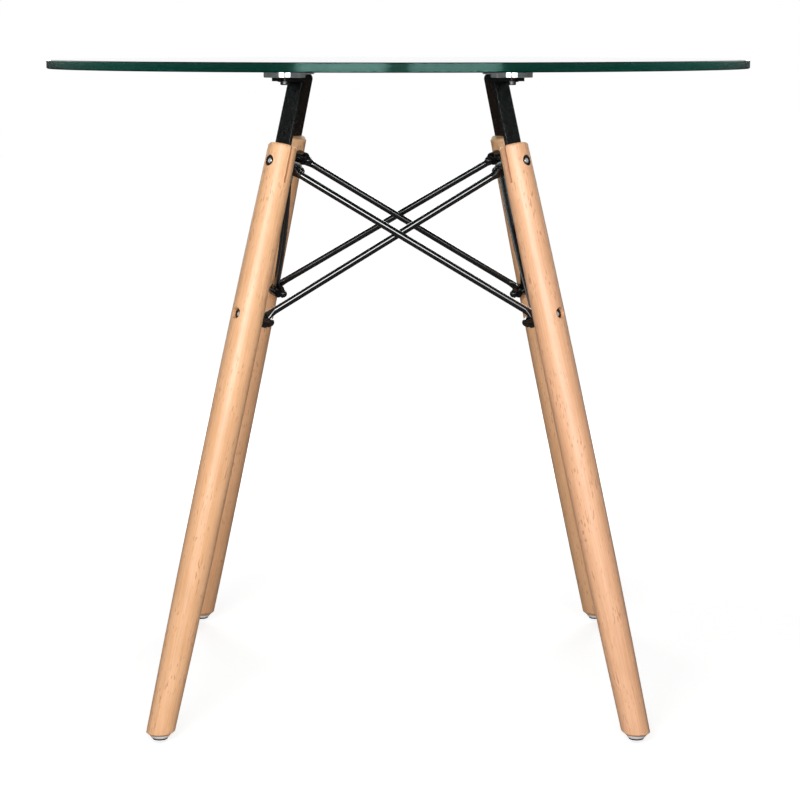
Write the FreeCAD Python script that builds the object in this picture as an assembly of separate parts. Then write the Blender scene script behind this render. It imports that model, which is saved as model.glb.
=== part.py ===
import FreeCAD, Part
import math
import os

# Round bistro table in millimetres, +Z up, with its origin on the floor in the
# middle of the four feet. A round glass top has four metal discs bonded under
# it. Each disc is screwed to a bent flat bar that is let into a slot in the top
# of a splayed, turned leg. Two crossed rods with flattened eyes brace each side.

# Overall layout
table_height = 728.0
foot_spread = 367.5
leg_splay = 16.5
first_leg_bearing = 45.0
corner_names = ["back_right", "back_left", "front_left", "front_right"]
side_names = ["back", "left", "front", "right"]

# Glass top
glass_diameter = 800.0
glass_thickness = 10.0
glass_arris = 1.0

# Metal discs bonded to the underside of the glass
disc_diameter = 46.0
disc_thickness = 9.0
disc_edge_chamfer = 0.6
disc_thread_depth = 7.0
disc_reach = 18.0

# Bent flat bars between the discs and the legs
bar_width = 22.6
bar_thickness = 4.0
bar_rise = 74.6
bar_bend_radius = 1.0
bar_tab_reach = 28.0
bar_corner_round = 2.5
bar_foot_clearance = 0.4

# Turned legs: a slim foot, a fuller belly and a slightly narrower top
leg_foot_diameter = 29.6
leg_belly_diameter = 36.2
leg_top_diameter = 32.0
leg_belly_station = 345.0
leg_top_round = 3.0
leg_slot_depth = 42.0
slot_clearance = 0.3
leg_end_diameter = 23.6
leg_end_chamfer_angle = 50.0

# Threaded studs through the legs, square to the leg's axis, each held by a
# slotted round nut in a counterbore
thread_diameter = 6.0
thread_hole_clearance = 0.5
thread_clearance = 0.1
upper_stud_drop = 21.0
lower_stud_drop = 192.7
stud_end_chamfer = 0.6
stud_end_recess = 0.2
stud_engagement = 6.5
round_nut_diameter = 12.2
round_nut_thickness = 5.0
round_nut_chamfer = 0.5
round_nut_slot_width = 1.4
round_nut_slot_depth = 1.0
counterbore_clearance = 0.4
upper_nut_depth = 1.3
lower_nut_depth = 5.0

# Screws under the tabs, washers and domed nuts
screw_head_diameter = 9.6
screw_head_height = 3.4
screw_head_rim = 2.2
screw_head_crown = 7.0
hex_socket_size = 4.0
hex_socket_depth = 2.0
tab_washer_diameter = 15.0
tab_washer_thickness = 0.8
brace_washer_diameter = 12.0
brace_washer_thickness = 1.5
nut_across_flats = 10.0
nut_hex_height = 5.5
nut_dome_diameter = 9.4
nut_thread_depth = 7.5

# Bracing rods with flattened, cranked eyes
rod_diameter = 8.0
rod_crossing_gap = 0.4
eye_diameter = 15.6
eye_thickness = 5.5
eye_neck_width = 11.6
eye_flat_depth = 1.0
eye_flat_run = 5.0
eye_crank_reach = 1.6
eye_taper_length = 8.0
eye_skin_clearance = 0.05

# Levelling glides
sole_diameter = 16.6
sole_thickness = 1.6
sole_edge_round = 0.5
cup_height = 3.6
cup_top_diameter = 22.4
cup_bottom_diameter = 17.6
stem_diameter = 8.0
stem_length = 27.0
stem_socket_depth = 2.0
stem_tip_chamfer = 0.8
stem_running_clearance = 0.08
stem_hole_clearance = 1.0
stem_hole_spare = 4.0
insert_diameter = 12.0
insert_length = 15.0
insert_fit_clearance = 0.05

# Levels and stations that follow from the sizes above
Vector = FreeCAD.Vector
up_axis = Vector(0, 0, 1)
splay = math.radians(leg_splay)
glass_underside = table_height - glass_thickness
disc_underside = glass_underside - disc_thickness
tab_underside = disc_underside - bar_thickness
leg_seat_height = sole_thickness + cup_height
bend_station = (disc_underside - bar_thickness / 2) / math.cos(splay)
leg_top_station = bend_station - bar_rise
leg_shoulder_station = leg_top_station - leg_top_round
leg_foot_station = -leg_foot_diameter / 2
slot_floor_station = leg_top_station - leg_slot_depth
bar_foot_station = slot_floor_station + bar_foot_clearance
upper_stud_station = leg_top_station - upper_stud_drop
lower_stud_station = leg_top_station - lower_stud_drop
stud_hole_radius = (thread_diameter + thread_hole_clearance) / 2
tapped_radius = thread_diameter / 2 + thread_clearance
eye_radius = eye_diameter / 2
far = 2 * leg_belly_diameter

# The leg's outline is a parabola through its foot, belly and shoulder radii
foot_radius = leg_foot_diameter / 2
shoulder_radius = leg_top_diameter / 2
belly_share = (leg_belly_station - leg_foot_station) / (leg_shoulder_station - leg_foot_station)
bulge_radius = (
    leg_belly_diameter / 2 - foot_radius * (1 - belly_share) ** 2 - shoulder_radius * belly_share ** 2
) / (2 * belly_share * (1 - belly_share))


def leg_radius(station):
    """Radius of the turned leg at a distance along its axis from the floor."""
    share = (station - leg_foot_station) / (leg_shoulder_station - leg_foot_station)
    bulge = 2 * bulge_radius * share * (1 - share)
    return foot_radius * (1 - share) ** 2 + bulge + shoulder_radius * share ** 2


def eye_seat(station):
    """Distance from the leg's axis to the flat that the rod eyes sit on."""
    return leg_radius(station) - eye_flat_depth


def nut_seat(station, nut_depth):
    """Distance from the leg's axis to the floor of a stud's counterbore."""
    return leg_radius(station) - nut_depth - round_nut_thickness


def oriented(shape, origin, x_axis, y_axis, z_axis):
    """Copy of a shape with its own axes laid along three unit vectors."""
    matrix = FreeCAD.Matrix(
        x_axis.x, y_axis.x, z_axis.x, origin.x,
        x_axis.y, y_axis.y, z_axis.y, origin.y,
        x_axis.z, y_axis.z, z_axis.z, origin.z,
        0, 0, 0, 1,
    )
    moved = shape.copy()
    moved.Placement = FreeCAD.Placement(matrix).multiply(moved.Placement)
    return moved


class LegLine:
    """Axis of one splayed leg: up along it, out square to it, across around the table."""

    def __init__(self, number):
        bearing = math.radians(first_leg_bearing + 90 * number)
        self.radial = Vector(math.cos(bearing), math.sin(bearing), 0)
        self.across = Vector(-math.sin(bearing), math.cos(bearing), 0)
        self.up = up_axis * math.cos(splay) - self.radial * math.sin(splay)
        self.out = self.radial * math.cos(splay) + up_axis * math.sin(splay)

    def point(self, station, out=0.0):
        return self.radial * foot_spread + self.up * station + self.out * out

    def place(self, shape, station=0.0):
        """Lay a shape on the leg, with X out of it, Y across it and Z up it."""
        return oriented(shape, self.point(station), self.out, self.across, self.up)

    def place_outward(self, shape, station, out):
        """Lay a shape with its Z axis pointing out of the leg."""
        return oriented(shape, self.point(station, out), self.across, self.up, self.out)

    def place_inward(self, shape, station, out):
        """Lay a shape with its Z axis pointing in towards the table's middle."""
        return oriented(shape, self.point(station, out), self.up, self.across, self.out * -1)

    def glide_centre(self, height):
        reach = foot_spread - leg_seat_height * math.tan(splay)
        return self.radial * reach + up_axis * height

    def disc_centre(self, height):
        reach = foot_spread - bend_station * math.sin(splay) + disc_reach
        return self.radial * reach + up_axis * height


def revolved(points):
    """Solid turned about Z from (radius, height) points; a triple adds an arc through its middle."""
    edges = []
    start = Vector(points[0][0], 0, points[0][1])
    for step in points[1:] + [points[0]]:
        end = Vector(step[-2], 0, step[-1])
        if len(step) == 4:
            middle = Vector(step[0], 0, step[1])
            edges.append(Part.Arc(start, middle, end).toShape())
        else:
            edges.append(Part.LineSegment(start, end).toShape())
        start = end
    return Part.Face(Part.Wire(edges)).revolve(Vector(0, 0, 0), up_axis, 360)


def hexagon_prism(across_flats, height):
    radius = across_flats / math.sqrt(3)
    corners = [
        Vector(radius * math.cos(math.radians(60 * n)), radius * math.sin(math.radians(60 * n)), 0)
        for n in range(7)
    ]
    return Part.Face(Part.makePolygon(corners)).extrude(up_axis * height)


def ring(outer_diameter, thickness, hole_radius):
    disc = Part.makeCylinder(outer_diameter / 2, thickness)
    return disc.cut(Part.makeCylinder(hole_radius, thickness))


def round_edges_at(shape, height):
    """Full circular edges of a shape at one height along Z."""
    return [
        edge for edge in shape.Edges
        if edge.Curve.TypeId == "Part::GeomCircle" and abs(edge.Curve.Center.z - height) < 1e-6
    ]


def cap_screw(shank_length):
    """Low cap screw with a hexagon socket: head above Z zero, shank below."""
    shank = thread_diameter / 2
    head = screw_head_diameter / 2
    crown = screw_head_crown / 2
    slant = math.sqrt(0.5)
    shoulder = (crown + (head - crown) * slant, screw_head_rim + (screw_head_height - screw_head_rim) * slant)
    body = revolved([
        (0, -shank_length),
        (shank, -shank_length),
        (shank, 0),
        (head, 0),
        (head, screw_head_rim),
        (*shoulder, crown, screw_head_height),
        (0, screw_head_height),
    ])
    socket = hexagon_prism(hex_socket_size, hex_socket_depth)
    return body.cut(socket.translated(up_axis * (screw_head_height - hex_socket_depth)))


def acorn_nut():
    """Domed nut standing on Z zero, with a blind threaded hole."""
    dome = nut_dome_diameter / 2
    slant = dome * math.sqrt(0.5)
    cap = revolved([
        (0, 0),
        (dome, 0),
        (dome, nut_hex_height),
        (slant, nut_hex_height + slant, 0, nut_hex_height + dome),
    ])
    body = hexagon_prism(nut_across_flats, nut_hex_height).fuse(cap)
    return body.cut(Part.makeCylinder(tapped_radius, nut_thread_depth))


def make_glass_top():
    pane = Part.makeCylinder(glass_diameter / 2, glass_thickness, up_axis * glass_underside)
    rims = round_edges_at(pane, glass_underside) + round_edges_at(pane, table_height)
    return pane.makeChamfer(glass_arris, rims)


def make_disc(leg):
    disc = Part.makeCylinder(disc_diameter / 2, disc_thickness)
    disc = disc.makeChamfer(disc_edge_chamfer, round_edges_at(disc, 0))
    disc = disc.cut(Part.makeCylinder(tapped_radius, disc_thread_depth))
    return disc.translated(leg.disc_centre(disc_underside))


def make_disc_washer(leg):
    washer = ring(tab_washer_diameter, tab_washer_thickness, stud_hole_radius)
    return washer.translated(leg.disc_centre(tab_underside - tab_washer_thickness))


def make_disc_screw(leg):
    grip = tab_washer_thickness + bar_thickness + disc_thread_depth - thread_hole_clearance
    seat = leg.disc_centre(tab_underside - tab_washer_thickness)
    return oriented(cap_screw(grip), seat, leg.radial, leg.across * -1, up_axis * -1)


def make_leg_bar(leg):
    """Flat strip swept up the leg's axis and round a bend into a level tab."""
    bend = leg.point(bend_station)
    start = leg.point(bar_foot_station)
    end = bend + leg.radial * bar_tab_reach
    turn = leg.up.getAngle(leg.radial)
    middle_radius = bar_bend_radius + bar_thickness / 2
    setback = middle_radius * math.tan(turn / 2)
    inward = leg.radial - leg.up
    inward.normalize()
    centre = bend + inward * (middle_radius / math.cos(turn / 2))
    arc_start = bend - leg.up * setback
    arc_end = bend + leg.radial * setback
    path = Part.Wire([
        Part.LineSegment(start, arc_start).toShape(),
        Part.Arc(arc_start, centre - inward * middle_radius, arc_end).toShape(),
        Part.LineSegment(arc_end, end).toShape(),
    ])
    half_width = leg.across * (bar_width / 2)
    half_thickness = leg.out * (bar_thickness / 2)
    section = Part.makePolygon([
        start - half_width - half_thickness,
        start + half_width - half_thickness,
        start + half_width + half_thickness,
        start - half_width + half_thickness,
        start - half_width - half_thickness,
    ])
    bar = path.makePipeShell([section], True, False)
    tip_edges = [
        edge for edge in bar.Edges
        if all(abs((corner.Point - end).dot(leg.radial)) < 1e-6 for corner in edge.Vertexes)
        and abs(edge.tangentAt(edge.FirstParameter).z) > 0.9
    ]
    bar = bar.makeFillet(bar_corner_round, tip_edges)
    stud_hole = Part.makeCylinder(stud_hole_radius, far, leg.point(upper_stud_station, -far / 2), leg.out)
    screw_hole = Part.makeCylinder(stud_hole_radius, far, leg.disc_centre(tab_underside - far / 2))
    return bar.cut(stud_hole).cut(screw_hole)


def make_leg(leg):
    """Turned leg with a bar slot, stud holes, flats for the rod eyes and a level foot."""
    crown = shoulder_radius - leg_top_round
    slant = leg_top_round * math.sqrt(0.5)
    outline = Part.BezierCurve()
    outline.setPoles([
        Vector(foot_radius, 0, leg_foot_station),
        Vector(bulge_radius, 0, (leg_foot_station + leg_shoulder_station) / 2),
        Vector(shoulder_radius, 0, leg_shoulder_station),
    ])
    edges = [
        outline.toShape(),
        Part.Arc(
            Vector(shoulder_radius, 0, leg_shoulder_station),
            Vector(crown + slant, 0, leg_shoulder_station + slant),
            Vector(crown, 0, leg_top_station),
        ).toShape(),
        *Part.makePolygon([
            Vector(crown, 0, leg_top_station),
            Vector(0, 0, leg_top_station),
            Vector(0, 0, leg_foot_station),
            Vector(foot_radius, 0, leg_foot_station),
        ]).Edges,
    ]
    body = Part.Face(Part.Wire(edges)).revolve(Vector(0, 0, 0), up_axis, 360)
    slot_width = bar_thickness + slot_clearance
    cuts = [
        Part.makeBox(slot_width, far, far, Vector(-slot_width / 2, -far / 2, slot_floor_station)),
    ]
    counterbore_radius = (round_nut_diameter + counterbore_clearance) / 2
    out = Vector(1, 0, 0)
    for station, nut_depth in [(upper_stud_station, upper_nut_depth), (lower_stud_station, lower_nut_depth)]:
        level = Vector(0, 0, station)
        cuts.append(Part.makeCylinder(stud_hole_radius, far, level - out * (far / 2), out))
        floor = level + out * nut_seat(station, nut_depth)
        cuts.append(Part.makeCylinder(counterbore_radius, far, floor, out))
        flat = 2 * (eye_radius + eye_flat_run)
        flat_corner = Vector(-far - eye_seat(station), -far / 2, station - flat / 2)
        cuts.append(Part.makeBox(far, far, flat, flat_corner))
    body = leg.place(body.cut(cuts))
    end_radius = leg_end_diameter / 2
    level_end = revolved([
        (0, -far),
        (far, -far),
        (far, (far - end_radius) / math.tan(math.radians(leg_end_chamfer_angle))),
        (end_radius, 0),
        (0, 0),
    ])
    insert_hole = Part.makeCylinder(insert_diameter / 2 + insert_fit_clearance, insert_length)
    stem_hole = Part.makeCylinder(
        (stem_diameter + stem_hole_clearance) / 2, stem_length - stem_socket_depth + stem_hole_spare)
    seat = leg.glide_centre(leg_seat_height)
    return body.cut([cutter.translated(seat) for cutter in (level_end, insert_hole, stem_hole)])


def make_leg_insert(leg):
    hole = stem_diameter / 2 + stem_running_clearance
    return ring(insert_diameter, insert_length, hole).translated(leg.glide_centre(leg_seat_height))


def make_stud(leg, station, nut_depth):
    """Threaded stud from just below the face of its round nut into its domed nut."""
    outer = leg_radius(station) - nut_depth - stud_end_recess
    inner = eye_seat(station) + 2 * eye_thickness + brace_washer_thickness + stud_engagement
    stud = Part.makeCylinder(thread_diameter / 2, outer + inner)
    tips = round_edges_at(stud, 0) + round_edges_at(stud, outer + inner)
    return leg.place_outward(stud.makeChamfer(stud_end_chamfer, tips), station, -inner)


def make_round_nut(leg, station, nut_depth):
    """Round nut with a driver's slot across its outer face."""
    nut = Part.makeCylinder(round_nut_diameter / 2, round_nut_thickness)
    nut = nut.makeChamfer(round_nut_chamfer, round_edges_at(nut, round_nut_thickness))
    slot = Part.makeBox(round_nut_diameter, round_nut_slot_width, round_nut_slot_depth, Vector(
        -round_nut_diameter / 2, -round_nut_slot_width / 2, round_nut_thickness - round_nut_slot_depth))
    nut = nut.cut([slot, Part.makeCylinder(tapped_radius, round_nut_thickness)])
    return leg.place_outward(nut, station, nut_seat(station, nut_depth))


def make_brace_washer(leg, station):
    washer = ring(brace_washer_diameter, brace_washer_thickness, stud_hole_radius)
    return leg.place_inward(washer, station, -eye_seat(station) - 2 * eye_thickness)


def make_acorn_nut(leg, station):
    seat = eye_seat(station) + 2 * eye_thickness + brace_washer_thickness
    return leg.place_inward(acorn_nut(), station, -seat)


def eye_centre(leg, station, layer):
    """Middle of a rod's eye: layer 0 lies on the leg's flat, layer 1 on top of it."""
    return leg.point(station, -eye_seat(station) - (layer + 0.5) * eye_thickness)


def oval(centre, wide, narrow, normal, major, minor):
    """Elliptic wire of two half-axes round a point."""
    outline = Part.Ellipse(Vector(0, 0, 0), major, minor) if major > minor else Part.Circle(
        Vector(0, 0, 0), up_axis, minor)
    return oriented(Part.Wire(outline.toShape()), centre, wide, narrow, normal)


def flattened_end(leg, centre, towards, rod_start, rod_heading):
    """Eye of a rod, its flat neck and the taper that swells into the round rod."""
    neck_half = eye_neck_width / 2
    skin = eye_thickness / 2 - eye_skin_clearance
    across = leg.out.cross(towards)
    eye = Part.makeCylinder(
        eye_radius, eye_thickness - 2 * eye_skin_clearance, centre - leg.out * skin, leg.out)
    neck_end = centre + towards * (eye_radius + eye_skin_clearance)
    neck = Part.makeLoft([
        oval(centre, across, leg.out, towards, neck_half, skin),
        oval(neck_end, across, leg.out, towards, neck_half, skin),
    ], True, True)
    rod_wide = across - rod_heading * across.dot(rod_heading)
    rod_wide.normalize()
    rod_narrow = rod_heading.cross(rod_wide)
    taper = Part.makeLoft([
        oval(neck_end, across, leg.out, towards, neck_half, skin),
        oval(rod_start, rod_wide, rod_narrow, rod_heading, rod_diameter / 2, rod_diameter / 2),
    ], True, True)
    return eye.fuse([neck, taper])


def crank_point(leg, centre, other_centre):
    """Direction in which a rod leaves its eye, and the point where it cranks off the leg."""
    towards = other_centre - centre
    towards = towards - leg.out * towards.dot(leg.out)
    towards.normalize()
    return towards, centre + towards * (eye_radius + eye_crank_reach)


def rod_ends(upper_leg, lower_leg, layer):
    """Eye centres, leaving directions and crank points of one rod, upper end first."""
    upper = eye_centre(upper_leg, upper_stud_station, layer)
    lower = eye_centre(lower_leg, lower_stud_station, layer)
    upper_towards, upper_crank = crank_point(upper_leg, upper, lower)
    lower_towards, lower_crank = crank_point(lower_leg, lower, upper)
    return [(upper_leg, upper, upper_towards, upper_crank), (lower_leg, lower, lower_towards, lower_crank)]


def crossing_point(ends, along):
    """Point of the straight line between a rod's cranks in the middle of its side."""
    first = ends[0][3]
    span = ends[1][3] - first
    return first - span * (first.dot(along) / span.dot(along))


def make_rod_pair(left_leg, right_leg):
    """Outer and inner rods of one side, bowed just enough to pass each other."""
    along = right_leg.point(0) - left_leg.point(0)
    along.normalize()
    outward = along.cross(up_axis)
    outer_ends = rod_ends(left_leg, right_leg, 0)
    inner_ends = rod_ends(right_leg, left_leg, 1)
    outer_crossing = crossing_point(outer_ends, along)
    inner_crossing = crossing_point(inner_ends, along)
    apart = (outer_crossing - inner_crossing).dot(outward)
    bow = (rod_diameter + rod_crossing_gap - apart) / 2
    return [
        make_rod(outer_ends, outer_crossing + outward * bow),
        make_rod(inner_ends, inner_crossing - outward * bow),
    ]


def make_rod(ends, through):
    """Round rod on a shallow arc through the crossing, with a flattened eye at each end."""
    starts = []
    for near, away in [(ends[0], ends[1]), (ends[1], ends[0])]:
        heading = away[3] - near[3]
        heading.normalize()
        starts.append(near[3] + heading * eye_taper_length)
    curve = Part.Arc(starts[0], through, starts[1])
    path = Part.Wire(curve.toShape())
    upper_heading = curve.tangent(curve.FirstParameter)[0]
    lower_heading = curve.tangent(curve.LastParameter)[0] * -1
    section = Part.Wire(Part.Circle(starts[0], upper_heading, rod_diameter / 2).toShape())
    body = path.makePipeShell([section], True, False)
    for (leg, centre, towards, crank), start, heading in zip(
            ends, starts, [upper_heading, lower_heading]):
        body = body.fuse(flattened_end(leg, centre, towards, start, heading))
    for leg, centre, towards, crank in ends:
        hole = Part.makeCylinder(stud_hole_radius, far, centre - leg.out * (far / 2), leg.out)
        body = body.cut(hole)
    return body


def make_glide_sole(leg):
    sole = Part.makeCylinder(sole_diameter / 2, sole_thickness)
    sole = sole.makeFillet(sole_edge_round, round_edges_at(sole, 0))
    return sole.translated(leg.glide_centre(0))


def make_glide_cup(leg):
    """Bowl-shaped foot with a socket for its stem."""
    top = cup_top_diameter / 2
    bottom = cup_bottom_diameter / 2
    socket = stem_diameter / 2
    flare = (top + bottom) / 2 + (top - bottom) / 5
    cup = revolved([
        (0, 0),
        (bottom, 0),
        (flare, cup_height / 2, top, cup_height),
        (socket, cup_height),
        (socket, cup_height - stem_socket_depth),
        (0, cup_height - stem_socket_depth),
    ])
    return cup.translated(leg.glide_centre(sole_thickness))


def make_glide_stem(leg):
    stem = Part.makeCylinder(stem_diameter / 2, stem_length)
    stem = stem.makeChamfer(stem_tip_chamfer, round_edges_at(stem, stem_length))
    return stem.translated(leg.glide_centre(leg_seat_height - stem_socket_depth))


def save(name, shape):
    shape.exportStep(os.path.join("parts", name + ".step"))


os.makedirs("parts", exist_ok=True)
legs = [LegLine(number) for number in range(len(corner_names))]

save("glass_top", make_glass_top())
for name, leg in zip(corner_names, legs):
    save("glass_disc_" + name, make_disc(leg))
    save("leg_bar_" + name, make_leg_bar(leg))
    save("leg_" + name, make_leg(leg))
    save("glide_cup_" + name, make_glide_cup(leg))
    save("glide_sole_" + name, make_glide_sole(leg))
    save("glide_stem_" + name, make_glide_stem(leg))

for number, name in enumerate(side_names):
    left_leg = legs[number]
    right_leg = legs[(number + 1) % len(legs)]
    outer_rod, inner_rod = make_rod_pair(left_leg, right_leg)
    save("outer_rod_" + name, outer_rod)
    save("inner_rod_" + name, inner_rod)

groups = {
    "disc_screws": [make_disc_screw(leg) for leg in legs],
    "disc_washers": [make_disc_washer(leg) for leg in legs],
    "leg_inserts": [make_leg_insert(leg) for leg in legs],
    "upper_studs": [make_stud(leg, upper_stud_station, upper_nut_depth) for leg in legs],
    "lower_studs": [make_stud(leg, lower_stud_station, lower_nut_depth) for leg in legs],
    "upper_round_nuts": [make_round_nut(leg, upper_stud_station, upper_nut_depth) for leg in legs],
    "lower_round_nuts": [make_round_nut(leg, lower_stud_station, lower_nut_depth) for leg in legs],
    "upper_brace_washers": [make_brace_washer(leg, upper_stud_station) for leg in legs],
    "lower_brace_washers": [make_brace_washer(leg, lower_stud_station) for leg in legs],
    "upper_acorn_nuts": [make_acorn_nut(leg, upper_stud_station) for leg in legs],
    "lower_acorn_nuts": [make_acorn_nut(leg, lower_stud_station) for leg in legs],
}
for name, solids in groups.items():
    save(name, Part.makeCompound(solids))
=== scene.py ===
import bpy
import math
import numpy as np
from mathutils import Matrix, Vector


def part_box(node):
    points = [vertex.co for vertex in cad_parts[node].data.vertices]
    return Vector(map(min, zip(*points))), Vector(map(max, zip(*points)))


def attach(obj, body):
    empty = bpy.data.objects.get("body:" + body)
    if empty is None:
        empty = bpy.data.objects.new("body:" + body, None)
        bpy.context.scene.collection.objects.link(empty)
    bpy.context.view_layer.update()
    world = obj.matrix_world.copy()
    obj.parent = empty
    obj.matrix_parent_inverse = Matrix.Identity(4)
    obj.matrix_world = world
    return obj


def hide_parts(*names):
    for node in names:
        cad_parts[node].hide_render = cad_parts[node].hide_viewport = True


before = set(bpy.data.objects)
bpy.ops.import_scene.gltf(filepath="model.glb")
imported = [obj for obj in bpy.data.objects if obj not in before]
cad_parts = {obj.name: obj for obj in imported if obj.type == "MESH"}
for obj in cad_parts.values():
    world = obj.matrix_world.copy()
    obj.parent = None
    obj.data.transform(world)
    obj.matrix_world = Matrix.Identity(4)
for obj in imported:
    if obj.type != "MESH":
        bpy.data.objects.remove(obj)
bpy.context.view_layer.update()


# Round top of clear float glass. The faces are polished, the rim is ground and
# polished with a small arris, and the iron in the glass turns the long way
# through it dark green.
glass_colour = (0.97, 1.0, 0.985, 1.0)
glass_index = 1.52
glass_gloss = (0.50, 0.95, 0.86, 1.0)
glass_shade = (0.82, 0.72, 0.725, 1.0)
glass_green = (0.0, 0.66, 0.61, 1.0)
glass_green_density = 12.0
rim_rise = 0.1
face_rise = 0.9
rim_roughness = 0.12
face_roughness = 0.0


def start_finish(name):
    """A new material, its node tree and its Principled shader."""
    material = bpy.data.materials.new(name)
    material.use_nodes = True
    return material, material.node_tree, material.node_tree.nodes["Principled BSDF"]


def set_inputs(tree, node, inputs):
    """Gives inputs of a node a value, or a link where the value is another node's output."""
    for key, value in inputs.items():
        if isinstance(value, bpy.types.NodeSocket):
            tree.links.new(value, node.inputs[key])
        else:
            node.inputs[key].default_value = value


def add_node(tree, kind, inputs=None, **properties):
    """A new shader node with its properties set and its inputs given."""
    made = tree.nodes.new(kind)
    for key, value in properties.items():
        setattr(made, key, value)
    set_inputs(tree, made, inputs or {})
    return made


def reckon(tree, operation, *values):
    """The result of one sum, product or other operation on values given in order."""
    return add_node(tree, "ShaderNodeMath", dict(enumerate(values)), operation=operation).outputs[0]


def remap(tree, value, start, end, first, last):
    """Goes straight from first to last while the value goes from start to end, and stays level outside."""
    made = add_node(tree, "ShaderNodeMapRange", {
        "Value": value, "From Min": start, "From Max": end, "To Min": first, "To Max": last})
    return made.outputs["Result"]


def upward(tree):
    """How far a surface faces up: 1 on a level top, 0 on an upright wall and -1 on an underside."""
    place = add_node(tree, "ShaderNodeTexCoord")
    return add_node(tree, "ShaderNodeSeparateXYZ", {"Vector": place.outputs["Normal"]}).outputs["Z"]


def paint(material, *names):
    """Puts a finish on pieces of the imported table."""
    for name in names:
        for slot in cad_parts[name].material_slots:
            slot.material = material


glass, tree, shader = start_finish("clear_float_glass")
level = reckon(tree, "ABSOLUTE", upward(tree))
set_inputs(tree, shader, {
    "Base Color": glass_colour, "Transmission Weight": 1.0, "IOR": glass_index, "Specular Tint": glass_gloss,
    "Roughness": remap(tree, level, rim_rise, face_rise, rim_roughness, face_roughness)})
path = add_node(tree, "ShaderNodeLightPath")
clear = add_node(tree, "ShaderNodeBsdfTransparent", {"Color": glass_shade})
lamps_through = add_node(tree, "ShaderNodeMixShader", {
    0: path.outputs["Is Shadow Ray"], 1: shader.outputs["BSDF"], 2: clear.outputs["BSDF"]})
tint = add_node(tree, "ShaderNodeVolumeAbsorption", {"Color": glass_green, "Density": glass_green_density})
set_inputs(tree, tree.nodes["Material Output"], {
    "Surface": lamps_through.outputs["Shader"], "Volume": tint.outputs["Volume"]})
paint(glass, "glass_top")


# Discs of turned aluminium, bonded flat to the underside of the glass. Fine
# rings from the lathe run round their rims and lower faces, and the bonded
# face is left dull and pale.
corners = ["back_right", "back_left", "front_left", "front_right"]
disc_low, disc_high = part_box("glass_disc_back_right")
disc_centre = tuple((low + high) / 2 for low, high in zip(disc_low, disc_high))
disc_rim_rise = 0.5
disc_shine = 0.85
bonded_shine = 0.0
lathe_bump = 0.25


def new_group(name, inputs, outputs):
    """An empty shader node group with named inputs and outputs, each of the kind given."""
    group = bpy.data.node_groups.new(name, "ShaderNodeTree")
    for in_out, sockets in (("INPUT", inputs), ("OUTPUT", outputs)):
        for label, kind in sockets.items():
            group.interface.new_socket(label, in_out=in_out, socket_type="NodeSocket" + kind)
    return group, group.nodes.new("NodeGroupInput"), group.nodes.new("NodeGroupOutput")


def uneven_roughness(group, given, noise):
    """The given roughness plus the given spread times the noise, counted from the noise's middle."""
    centred = reckon(group, "SUBTRACT", noise, 0.5)
    return reckon(group, "MULTIPLY_ADD", centred, given.outputs["Spread"], given.outputs["Roughness"])


lathe_lines, given, result = new_group(
    "lathe_lines",
    {"Vector": "Vector", "Lines": "Float", "Roughness": "Float", "Spread": "Float"},
    {"Roughness": "Float", "Height": "Float"})
spot = add_node(lathe_lines, "ShaderNodeSeparateXYZ", {"Vector": given.outputs["Vector"]})
flat = add_node(lathe_lines, "ShaderNodeCombineXYZ", {"X": spot.outputs["X"], "Y": spot.outputs["Y"]})
reach = add_node(lathe_lines, "ShaderNodeVectorMath", {0: flat.outputs[0]}, operation="LENGTH")
run = reckon(lathe_lines, "ADD", reach.outputs["Value"], spot.outputs["Z"])
turns = reckon(lathe_lines, "MULTIPLY", run, given.outputs["Lines"])
rings = add_node(lathe_lines, "ShaderNodeTexNoise", {
    "W": turns, "Scale": 1.0, "Detail": 2.0}, noise_dimensions="1D")
set_inputs(lathe_lines, result, {
    "Roughness": uneven_roughness(lathe_lines, given, rings.outputs["Fac"]),
    "Height": rings.outputs["Fac"]})


def turned_metal(name, colour, lines, roughness, spread, line_depth):
    """Bare metal with rings round the axis of the disc at its corner: noise along radius plus height."""
    material, tree, shader = start_finish(name)
    place = add_node(tree, "ShaderNodeTexCoord")
    folded = add_node(tree, "ShaderNodeVectorMath", {0: place.outputs["Object"]}, operation="ABSOLUTE")
    middle = add_node(tree, "ShaderNodeVectorMath", {
        0: folded.outputs["Vector"], 1: disc_centre}, operation="SUBTRACT")
    lathe = add_node(tree, "ShaderNodeGroup", {
        "Vector": middle.outputs["Vector"], "Lines": lines, "Roughness": roughness, "Spread": spread},
        node_tree=lathe_lines)
    bump = add_node(tree, "ShaderNodeBump", {
        "Height": lathe.outputs["Height"], "Strength": lathe_bump, "Distance": line_depth})
    set_inputs(tree, shader, {
        "Base Color": (*colour, 1.0), "Metallic": 1.0,
        "Roughness": lathe.outputs["Roughness"], "Normal": bump.outputs["Normal"]})
    return material


aluminium = turned_metal(
    "turned_aluminium", (0.80, 0.80, 0.81), lines=2600.0, roughness=0.12, spread=0.06, line_depth=0.000004)
tree = aluminium.node_tree
set_inputs(tree, tree.nodes["Principled BSDF"], {
    "Metallic": remap(tree, upward(tree), disc_rim_rise, face_rise, disc_shine, bonded_shine)})
paint(aluminium, *["glass_disc_" + corner for corner in corners])


# Low cap screws and plain washers of steel, plated dark, that hold the level
# tab of each bar up against its disc.
dark_zinc = turned_metal(
    "dark_plated_steel", (0.20, 0.20, 0.21), lines=1800.0, roughness=0.26, spread=0.10, line_depth=0.00001)
paint(dark_zinc, "disc_screws", "disc_washers")


# Flat bars of mild steel, bent once into a level tab at the top, let into the
# legs and powder-coated black.
patch_scale = 70.0
skin_spread = 0.2
skin_bump = 0.3
edge_samples = 8

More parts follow.
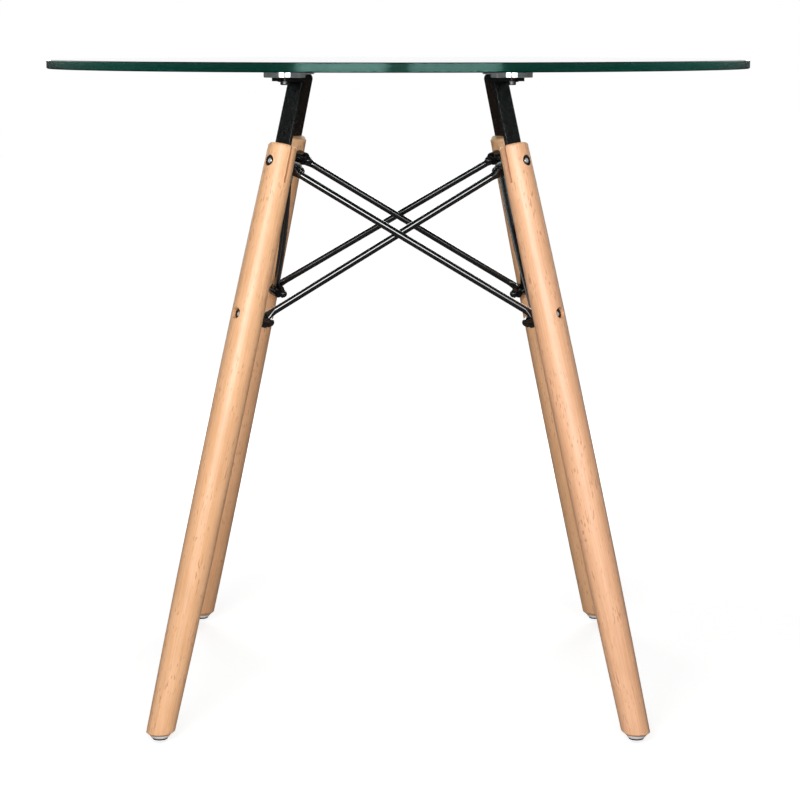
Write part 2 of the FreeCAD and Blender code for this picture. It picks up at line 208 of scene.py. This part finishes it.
sprayed_skin, given, result = new_group(
    "sprayed_skin",
    {"Vector": "Vector", "Grain": "Float", "Roughness": "Float", "Spread": "Float"},
    {"Roughness": "Float", "Height": "Float"})
peel = add_node(sprayed_skin, "ShaderNodeTexNoise", {
    "Vector": given.outputs["Vector"], "Scale": given.outputs["Grain"], "Detail": 1.0})
patches = add_node(sprayed_skin, "ShaderNodeTexNoise", {
    "Vector": given.outputs["Vector"], "Scale": patch_scale, "Detail": 3.0})
set_inputs(sprayed_skin, result, {
    "Roughness": uneven_roughness(sprayed_skin, given, patches.outputs["Fac"]),
    "Height": peel.outputs["Fac"]})


def coated(name, colour, grain, roughness, peel_depth, specular, arris=0.0):
    """A slightly uneven sprayed or moulded skin in one colour, whose edges catch the light as if rounded
    by the arris."""
    material, tree, shader = start_finish(name)
    place = add_node(tree, "ShaderNodeTexCoord")
    skin = add_node(tree, "ShaderNodeGroup", {
        "Vector": place.outputs["Object"], "Grain": grain, "Roughness": roughness, "Spread": skin_spread},
        node_tree=sprayed_skin)
    edges = add_node(tree, "ShaderNodeBevel", {"Radius": arris}, samples=edge_samples)
    bump = add_node(tree, "ShaderNodeBump", {
        "Height": skin.outputs["Height"], "Strength": skin_bump, "Distance": peel_depth,
        "Normal": edges.outputs["Normal"]})
    set_inputs(tree, shader, {
        "Base Color": (*colour, 1.0), "Specular IOR Level": specular,
        "Roughness": skin.outputs["Roughness"], "Normal": bump.outputs["Normal"]})
    return material


black_coat = coated(
    "black_powder_coat", (0.0045, 0.004, 0.004), grain=700.0, roughness=0.26, peel_depth=0.00001,
    specular=0.5, arris=0.001)
paint(black_coat, *["leg_bar_" + corner for corner in corners])


# Turned legs of solid beech under a clear satin lacquer. The grain runs along
# each leg, with pale growth bands and short brown flecks.
band_dark = (0.81, 0.430, 0.215, 1.0)
band_pale = (0.945, 0.550, 0.310, 1.0)
fleck_brown = (0.50, 0.200, 0.095, 1.0)
mottle_share = 0.45
noise_low = 0.3
noise_high = 0.7
fibre_dark = 0.90
fibre_pale = 1.06
fleck_start = 0.65
fleck_full = 0.72
cluster_start = 0.42
cluster_full = 0.62
sparse_flecks = 0.10
dense_flecks = 0.62
dull_lacquer = 0.46
smooth_lacquer = 0.36
lacquer_weight = 0.25
lacquer_roughness = 0.34
grain_bump = 0.12
grain_depth = 0.0002
leg_splay = math.radians(16.5)
leg_tints = {
    "back_right": (0.98, 0.98, 0.96), "back_left": (0.98, 0.96, 0.94),
    "front_left": (1.0, 1.0, 0.98), "front_right": (1.0, 0.98, 1.03)}
log_spacing = 0.9


def mix(tree, share, first, second):
    """A value that goes from the first to the second as the share goes from 0 to 1."""
    return add_node(tree, "ShaderNodeMix", {"Factor": share, "A": first, "B": second}).outputs["Result"]


def stretched_noise(tree, vector, across, along, detail, seed):
    """Noise drawn out along Z: features are 1/across metres wide and 1/along metres long."""
    drawn = add_node(tree, "ShaderNodeMapping", {
        "Vector": vector, "Location": (seed, seed, seed), "Scale": (across, across, along)})
    return add_node(tree, "ShaderNodeTexNoise", {
        "Vector": drawn.outputs["Vector"], "Scale": 1.0, "Detail": detail}).outputs["Fac"]


beech_grain, given, result = new_group(
    "beech_grain",
    {"Vector": "Vector", "Tint": "Color"},
    {"Color": "Color", "Roughness": "Float", "Height": "Float"})
log = given.outputs["Vector"]
bands = stretched_noise(beech_grain, log, across=120.0, along=3.0, detail=3.0, seed=1.7)
fibres = stretched_noise(beech_grain, log, across=900.0, along=14.0, detail=2.0, seed=5.1)
flecks = stretched_noise(beech_grain, log, across=620.0, along=130.0, detail=0.0, seed=9.3)
clusters = stretched_noise(beech_grain, log, across=60.0, along=25.0, detail=1.0, seed=3.9)
band_tone = add_node(beech_grain, "ShaderNodeValToRGB", {
    "Fac": mix(beech_grain, mottle_share, bands, clusters)})
for stop, position, colour in zip(
        band_tone.color_ramp.elements, (noise_low, noise_high), (band_dark, band_pale)):
    stop.position = position
    stop.color = colour
tinted = add_node(beech_grain, "ShaderNodeVectorMath", {
    0: band_tone.outputs["Color"], 1: given.outputs["Tint"]}, operation="MULTIPLY")
streaked = add_node(beech_grain, "ShaderNodeVectorMath", {
    0: tinted.outputs["Vector"],
    "Scale": remap(beech_grain, fibres, noise_low, noise_high, fibre_dark, fibre_pale)}, operation="SCALE")
fleck_share = reckon(
    beech_grain, "MULTIPLY",
    remap(beech_grain, flecks, fleck_start, fleck_full, 0.0, 1.0),
    remap(beech_grain, clusters, cluster_start, cluster_full, sparse_flecks, dense_flecks))
flecked = add_node(beech_grain, "ShaderNodeMix", {
    "Factor": fleck_share, 6: streaked.outputs["Vector"], 7: fleck_brown}, data_type="RGBA")
set_inputs(beech_grain, result, {
    "Color": flecked.outputs[2],
    "Roughness": remap(beech_grain, bands, noise_low, noise_high, dull_lacquer, smooth_lacquer),
    "Height": reckon(beech_grain, "SUBTRACT", fibres, fleck_share)})

for number, corner in enumerate(corners):
    sole_low, sole_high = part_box("glide_sole_" + corner)
    foot = [(low + high) / 2 for low, high in zip(sole_low, sole_high)]
    bearing = math.atan2(foot[1], foot[0])
    beech, tree, shader = start_finish("lacquered_beech_" + corner)
    place = add_node(tree, "ShaderNodeTexCoord")
    along_leg = add_node(tree, "ShaderNodeMapping", {
        "Vector": place.outputs["Object"],
        "Location": (foot[0], foot[1], -log_spacing * number),
        "Rotation": (0.0, -leg_splay, bearing)}, vector_type="TEXTURE")
    grain = add_node(tree, "ShaderNodeGroup", {
        "Vector": along_leg.outputs["Vector"], "Tint": (*leg_tints[corner], 1.0)}, node_tree=beech_grain)
    bump = add_node(tree, "ShaderNodeBump", {
        "Height": grain.outputs["Height"], "Strength": grain_bump, "Distance": grain_depth})
    set_inputs(tree, shader, {
        "Base Color": grain.outputs["Color"], "Roughness": grain.outputs["Roughness"],
        "Normal": bump.outputs["Normal"], "Coat Weight": lacquer_weight, "Coat Roughness": lacquer_roughness})
    paint(beech, "leg_" + corner)


# Threaded studs through the legs, bright plated, with slotted round nuts of
# blackened steel sunk into counterbores on the outside of each leg.
bright = turned_metal(
    "bright_plated_steel", (0.86, 0.85, 0.83), lines=1500.0, roughness=0.60, spread=0.18, line_depth=0.00005)
paint(bright, "upper_studs", "lower_studs")
black_oxide = coated(
    "blackened_steel", (0.009, 0.009, 0.010), grain=900.0, roughness=0.40, peel_depth=0.00001, specular=0.35)
paint(black_oxide, "upper_round_nuts", "lower_round_nuts")


# Eight round steel rods with flattened eyes. They cross in pairs on the four
# sides, and have a black coat like the bars', a little glossier.
sides = ["back", "left", "front", "right"]
black_rod = coated(
    "black_rod_coat", (0.003, 0.003, 0.0034), grain=700.0, roughness=0.10, peel_depth=0.000001, specular=1.0)
paint(black_rod, *["outer_rod_" + side for side in sides], *["inner_rod_" + side for side in sides])


# Washers and domed nuts that close the inner ends of the studs. They are of
# steel, black and glossy.
black_nut = coated(
    "black_nut_finish", (0.008, 0.008, 0.009), grain=500.0, roughness=0.16, peel_depth=0.000005, specular=0.5)
paint(black_nut, "upper_brace_washers", "lower_brace_washers", "upper_acorn_nuts", "lower_acorn_nuts")


# Levelling glides: a pale moulded cup with a black rubber sole, screwed into a
# zinc-plated insert in the end of the leg.
zinc = turned_metal(
    "zinc_plated_steel", (0.62, 0.62, 0.62), lines=1800.0, roughness=0.18, spread=0.10, line_depth=0.00001)
paint(zinc, "leg_inserts")
pale_cup = coated(
    "pale_moulded_cup", (0.86, 0.87, 0.88), grain=600.0, roughness=0.22, peel_depth=0.00001, specular=0.5)
paint(pale_cup, *["glide_cup_" + corner for corner in corners])
rubber = coated(
    "black_rubber_sole", (0.005, 0.005, 0.0055), grain=1200.0, roughness=0.62, peel_depth=0.00003,
    specular=0.15)
paint(rubber, *["glide_sole_" + corner for corner in corners])


# Stems of the glides: rolled steel thread that turns in the insert. It shows
# when a glide is screwed out.
thread_pitch = 0.00125
thread_depth = 0.0006
thread_flat = 0.125
thread_turn_points = 40
thread_rows_per_turn = 10


def threaded_stem(name, low, high):
    """Cylinder whose radius is a triangle wave of height / pitch minus angle / full turn, cut flat at its
    crests and roots and faired at both ends."""
    radius = (high[0] - low[0]) / 2
    centre = (np.array(low) + np.array(high)) / 2
    rows = int((high[2] - low[2]) / thread_pitch * thread_rows_per_turn)
    height = np.linspace(low[2], high[2], rows)[:, None]
    angle = np.linspace(0, 2 * np.pi, thread_turn_points, endpoint=False)[None, :]
    phase = (height / thread_pitch - angle / (2 * np.pi)) % 1.0
    wave = np.clip(np.abs(2 * phase - 1) * (1 + 2 * thread_flat) - thread_flat, 0, 1)
    fade = np.clip(np.minimum(height - low[2], high[2] - height) / thread_pitch, 0, 1)
    reach = radius - thread_depth * (1 - wave * fade)
    ring = np.stack([
        centre[0] + reach * np.cos(angle), centre[1] + reach * np.sin(angle), height + 0 * angle], axis=-1)
    ends = np.array([[centre[0], centre[1], low[2]], [centre[0], centre[1], high[2]]])
    points = np.concatenate([ring.reshape(-1, 3), ends])
    row = np.arange(rows - 1)[:, None] * thread_turn_points
    here = np.arange(thread_turn_points)[None, :]
    there = (here + 1) % thread_turn_points
    quads = np.stack([
        row + here, row + there, row + there + thread_turn_points, row + here + thread_turn_points], axis=-1)
    last = (rows - 1) * thread_turn_points
    bottom_pole = rows * thread_turn_points
    bottom = np.stack([there[0], here[0], np.full(thread_turn_points, bottom_pole)], axis=-1)
    top = np.stack([last + here[0], last + there[0], np.full(thread_turn_points, bottom_pole + 1)], axis=-1)
    mesh = bpy.data.meshes.new(name)
    mesh.from_pydata(points.tolist(), [], quads.reshape(-1, 4).tolist() + bottom.tolist() + top.tolist())
    mesh.polygons.foreach_set("use_smooth", np.ones(len(mesh.polygons), dtype=bool))
    piece = bpy.data.objects.new(name, mesh)
    bpy.context.scene.collection.objects.link(piece)
    return piece


for corner in corners:
    stem = threaded_stem("thread_" + corner, *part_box("glide_stem_" + corner))
    stem.data.materials.append(zinc)
    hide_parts("glide_stem_" + corner)
    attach(stem, "glide_" + corner)


# Studio floor: pale, with a soft shadow, and laid where the glides reach when
# they are screwed out. It shows white to the camera and through the glass, darker
# in mirrored light, and not at all from below.
glide_travel = 0.006
floor_half = 12.0
floor_roughness = 0.9
floor_tone = 0.55
floor_mirrored_tone = 0.15
floor_whiteness = 0.70
shadow_radius = 0.6
floor_mesh = bpy.data.meshes.new("studio_floor")
floor_mesh.from_pydata(
    [(x * floor_half, y * floor_half, -glide_travel) for x, y in ((-1, -1), (1, -1), (1, 1), (-1, 1))],
    [], [(0, 1, 2, 3)])
floor = bpy.data.objects.new("studio_floor", floor_mesh)
bpy.context.scene.collection.objects.link(floor)
pale_floor, tree, shader = start_finish("pale_floor")
path = add_node(tree, "ShaderNodeLightPath")
mirrored = reckon(tree, "MULTIPLY", path.outputs["Is Glossy Ray"], path.outputs["Is Reflection Ray"])
set_inputs(tree, shader, {
    "Base Color": mix(tree, mirrored, floor_tone, floor_mirrored_tone),
    "Roughness": floor_roughness, "Specular IOR Level": 0.0})
seen = reckon(tree, "MAXIMUM", path.outputs["Is Camera Ray"], path.outputs["Is Transmission Ray"])
place = add_node(tree, "ShaderNodeTexCoord")
reach = add_node(tree, "ShaderNodeVectorMath", {0: place.outputs["Object"]}, operation="LENGTH")
evened = remap(tree, reach.outputs["Value"], shadow_radius, 2 * shadow_radius, floor_whiteness, 1.0)
white = add_node(tree, "ShaderNodeEmission", {
    "Color": (1.0, 1.0, 1.0, 1.0), "Strength": reckon(tree, "MULTIPLY", seen, evened)})
lifted = add_node(tree, "ShaderNodeAddShader", {0: shader.outputs["BSDF"], 1: white.outputs["Emission"]})
under = add_node(tree, "ShaderNodeNewGeometry")
open_below = add_node(tree, "ShaderNodeBsdfTransparent")
one_sided = add_node(tree, "ShaderNodeMixShader", {
    0: under.outputs["Backfacing"], 1: lifted.outputs["Shader"], 2: open_below.outputs["BSDF"]})
set_inputs(tree, tree.nodes["Material Output"], {"Surface": one_sided.outputs["Shader"]})
floor_mesh.materials.append(pale_floor)


# White surround: the camera sees plain white, also through the glass. Gloss
# mirrors a white wall behind the table and a low white band round its sides,
# and the rest of the room is dark.
surround_fill = 0.05
surround_front = 0.03
surround_below = 0.04
surround_behind = 1.0
horizon_blur = 0.006
back_start = 0.35
back_full = 0.75
side_start = -0.94
side_full = -0.80
band_start = 0.025
band_full = 0.05
brim_front = -0.35
brim_side = 0.0
brim_tall = 0.6
brim_low = 0.18
brim_fade = 0.6
under_one_bounce = 0.5
world = bpy.data.worlds.new("white_surround")
bpy.context.scene.world = world
world.use_nodes = True
tree = world.node_tree
path = add_node(tree, "ShaderNodeLightPath")
place = add_node(tree, "ShaderNodeTexCoord")
heading = add_node(tree, "ShaderNodeSeparateXYZ", {"Vector": place.outputs["Generated"]})
backward = heading.outputs["Y"]
height = heading.outputs["Z"]
backdrop = remap(tree, height, 0.0, horizon_blur, surround_below, surround_behind)
behind = remap(tree, backward, back_start, back_full, 0.0, 1.0)
beside = remap(tree, backward, side_start, side_full, 0.0, 1.0)
above = remap(tree, height, band_start, band_full, 0.0, 1.0)
brim = remap(tree, backward, brim_front, brim_side, brim_tall, brim_low)
fade = reckon(tree, "MULTIPLY", brim, brim_fade)
below = remap(tree, height, fade, brim, 1.0, 0.0)
band = reckon(tree, "MULTIPLY", above, below)
ring = reckon(tree, "MULTIPLY", beside, band)
mirrored = reckon(tree, "MULTIPLY", ring, path.outputs["Is Reflection Ray"])
walls = reckon(tree, "MAXIMUM", behind, mirrored)
around = mix(tree, walls, surround_front, backdrop)
reflected = mix(tree, path.outputs["Is Glossy Ray"], surround_fill, around)
bounces = reckon(tree, "ADD", path.outputs["Glossy Depth"], path.outputs["Diffuse Depth"])
unbroken = reckon(tree, "LESS_THAN", bounces, under_one_bounce)
through = reckon(tree, "MULTIPLY", path.outputs["Is Transmission Ray"], unbroken)
seen = reckon(tree, "MAXIMUM", path.outputs["Is Camera Ray"], through)
set_inputs(tree, tree.nodes["Background"], {
    "Color": (1.0, 1.0, 1.0, 1.0), "Strength": mix(tree, seen, reflected, 1.0)})


# Five soft boxes: one on each side of the camera, one above it and two behind
# the table. Those behind don't show through the glass.
box_aim = (0.0, 0.0, 0.60)


def soft_box(name, where, width, height, power):
    """A rectangular lamp, turned so that it faces the point that all the boxes aim at."""
    lamp = bpy.data.lights.new(name, "AREA")
    lamp.shape = "RECTANGLE"
    lamp.size = width
    lamp.size_y = height
    lamp.energy = power
    made = bpy.data.objects.new(name, lamp)
    away = np.array(where) - np.array(box_aim)
    away = away / np.linalg.norm(away)
    turn = math.atan2(away[1], away[0]) + math.pi / 2
    made.rotation_euler = (math.acos(away[2]), 0.0, turn)
    made.location = where
    made.visible_camera = False
    made.visible_transmission = where[1] < 0
    bpy.context.scene.collection.objects.link(made)


soft_box("soft_box_left", (-0.54, -1.90, 1.05), width=0.92, height=0.8, power=12.5)
soft_box("soft_box_right", (0.54, -1.90, 1.05), width=0.92, height=0.8, power=10.6)
soft_box("soft_box_key", (-0.25, -2.20, 1.10), width=1.0, height=0.6, power=20.2)
soft_box("soft_box_back_left", (-0.60, 2.10, 1.20), width=0.9, height=0.8, power=14.0)
soft_box("soft_box_back_right", (0.60, 2.10, 1.20), width=0.9, height=0.8, power=14.0)


# Camera at the photograph's viewing angle, a little above the glass and tilted
# down. Its focal length is given in pixels of the image.
camera_focal_pixels = 2246.2
image_width = 800
camera_side = 0.002
camera_distance = 2.6119
camera_height = 0.7494
camera_pitch = math.radians(9.10)
lens = bpy.data.cameras.new("photo_camera")
lens.sensor_width = 36.0
lens.lens = camera_focal_pixels / image_width * lens.sensor_width
lens.clip_end = 100.0
camera = bpy.data.objects.new("photo_camera", lens)
camera.location = (camera_side, -camera_distance, camera_height)
camera.rotation_euler = (math.pi / 2 - camera_pitch, 0.0, 0.0)
bpy.context.scene.collection.objects.link(camera)
bpy.context.scene.camera = camera
bpy.context.scene.view_settings.view_transform = "Standard"
